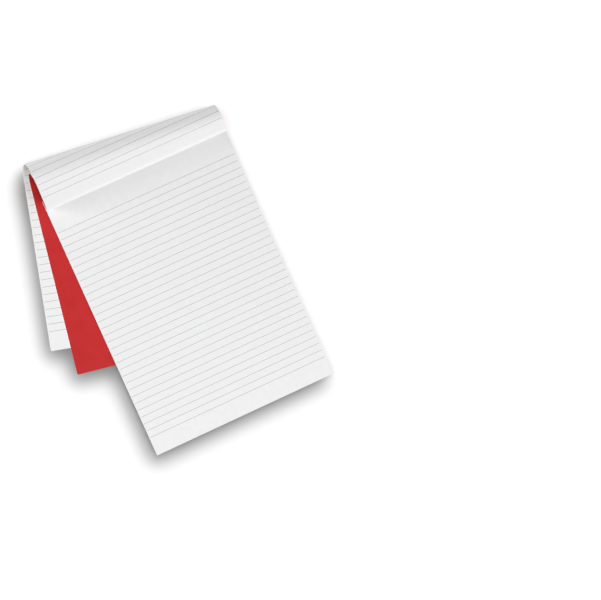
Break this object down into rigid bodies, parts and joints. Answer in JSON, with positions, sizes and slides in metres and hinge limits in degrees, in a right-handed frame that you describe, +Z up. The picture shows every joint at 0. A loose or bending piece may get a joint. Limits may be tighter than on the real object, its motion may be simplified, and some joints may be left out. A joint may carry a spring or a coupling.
{
  "type": "writing pad",
  "caption": "Ruled A4 writing pad lying open and face up, with its red card cover and first leaves turned over the glued head and splayed beneath it.",
  "frame": {"origin": "on the surface the pad lies on, under the middle of the leaves that lie flat", "axes": "+X across the leaves to their right edge, +Y from the foot to the bound head, +Z up out of the page"},
  "size_m": [0.2668, 0.3426, 0.0352],
  "materials": {
    "ruled_paper": "smooth uncoated white paper with fine grey ruled lines",
    "cover_card": "red card with a soft satin coating",
    "grey_board": "uncoated grey board",
    "padding_glue": "dried flexible white padding glue"
  },
  "bodies": {
    "root": {"page_block": "ruled_paper", "turned_leaves": "ruled_paper", "front_cover": "cover_card", "backing_board": "grey_board", "head_glue": "padding_glue"}
  },
  "joints": []
}
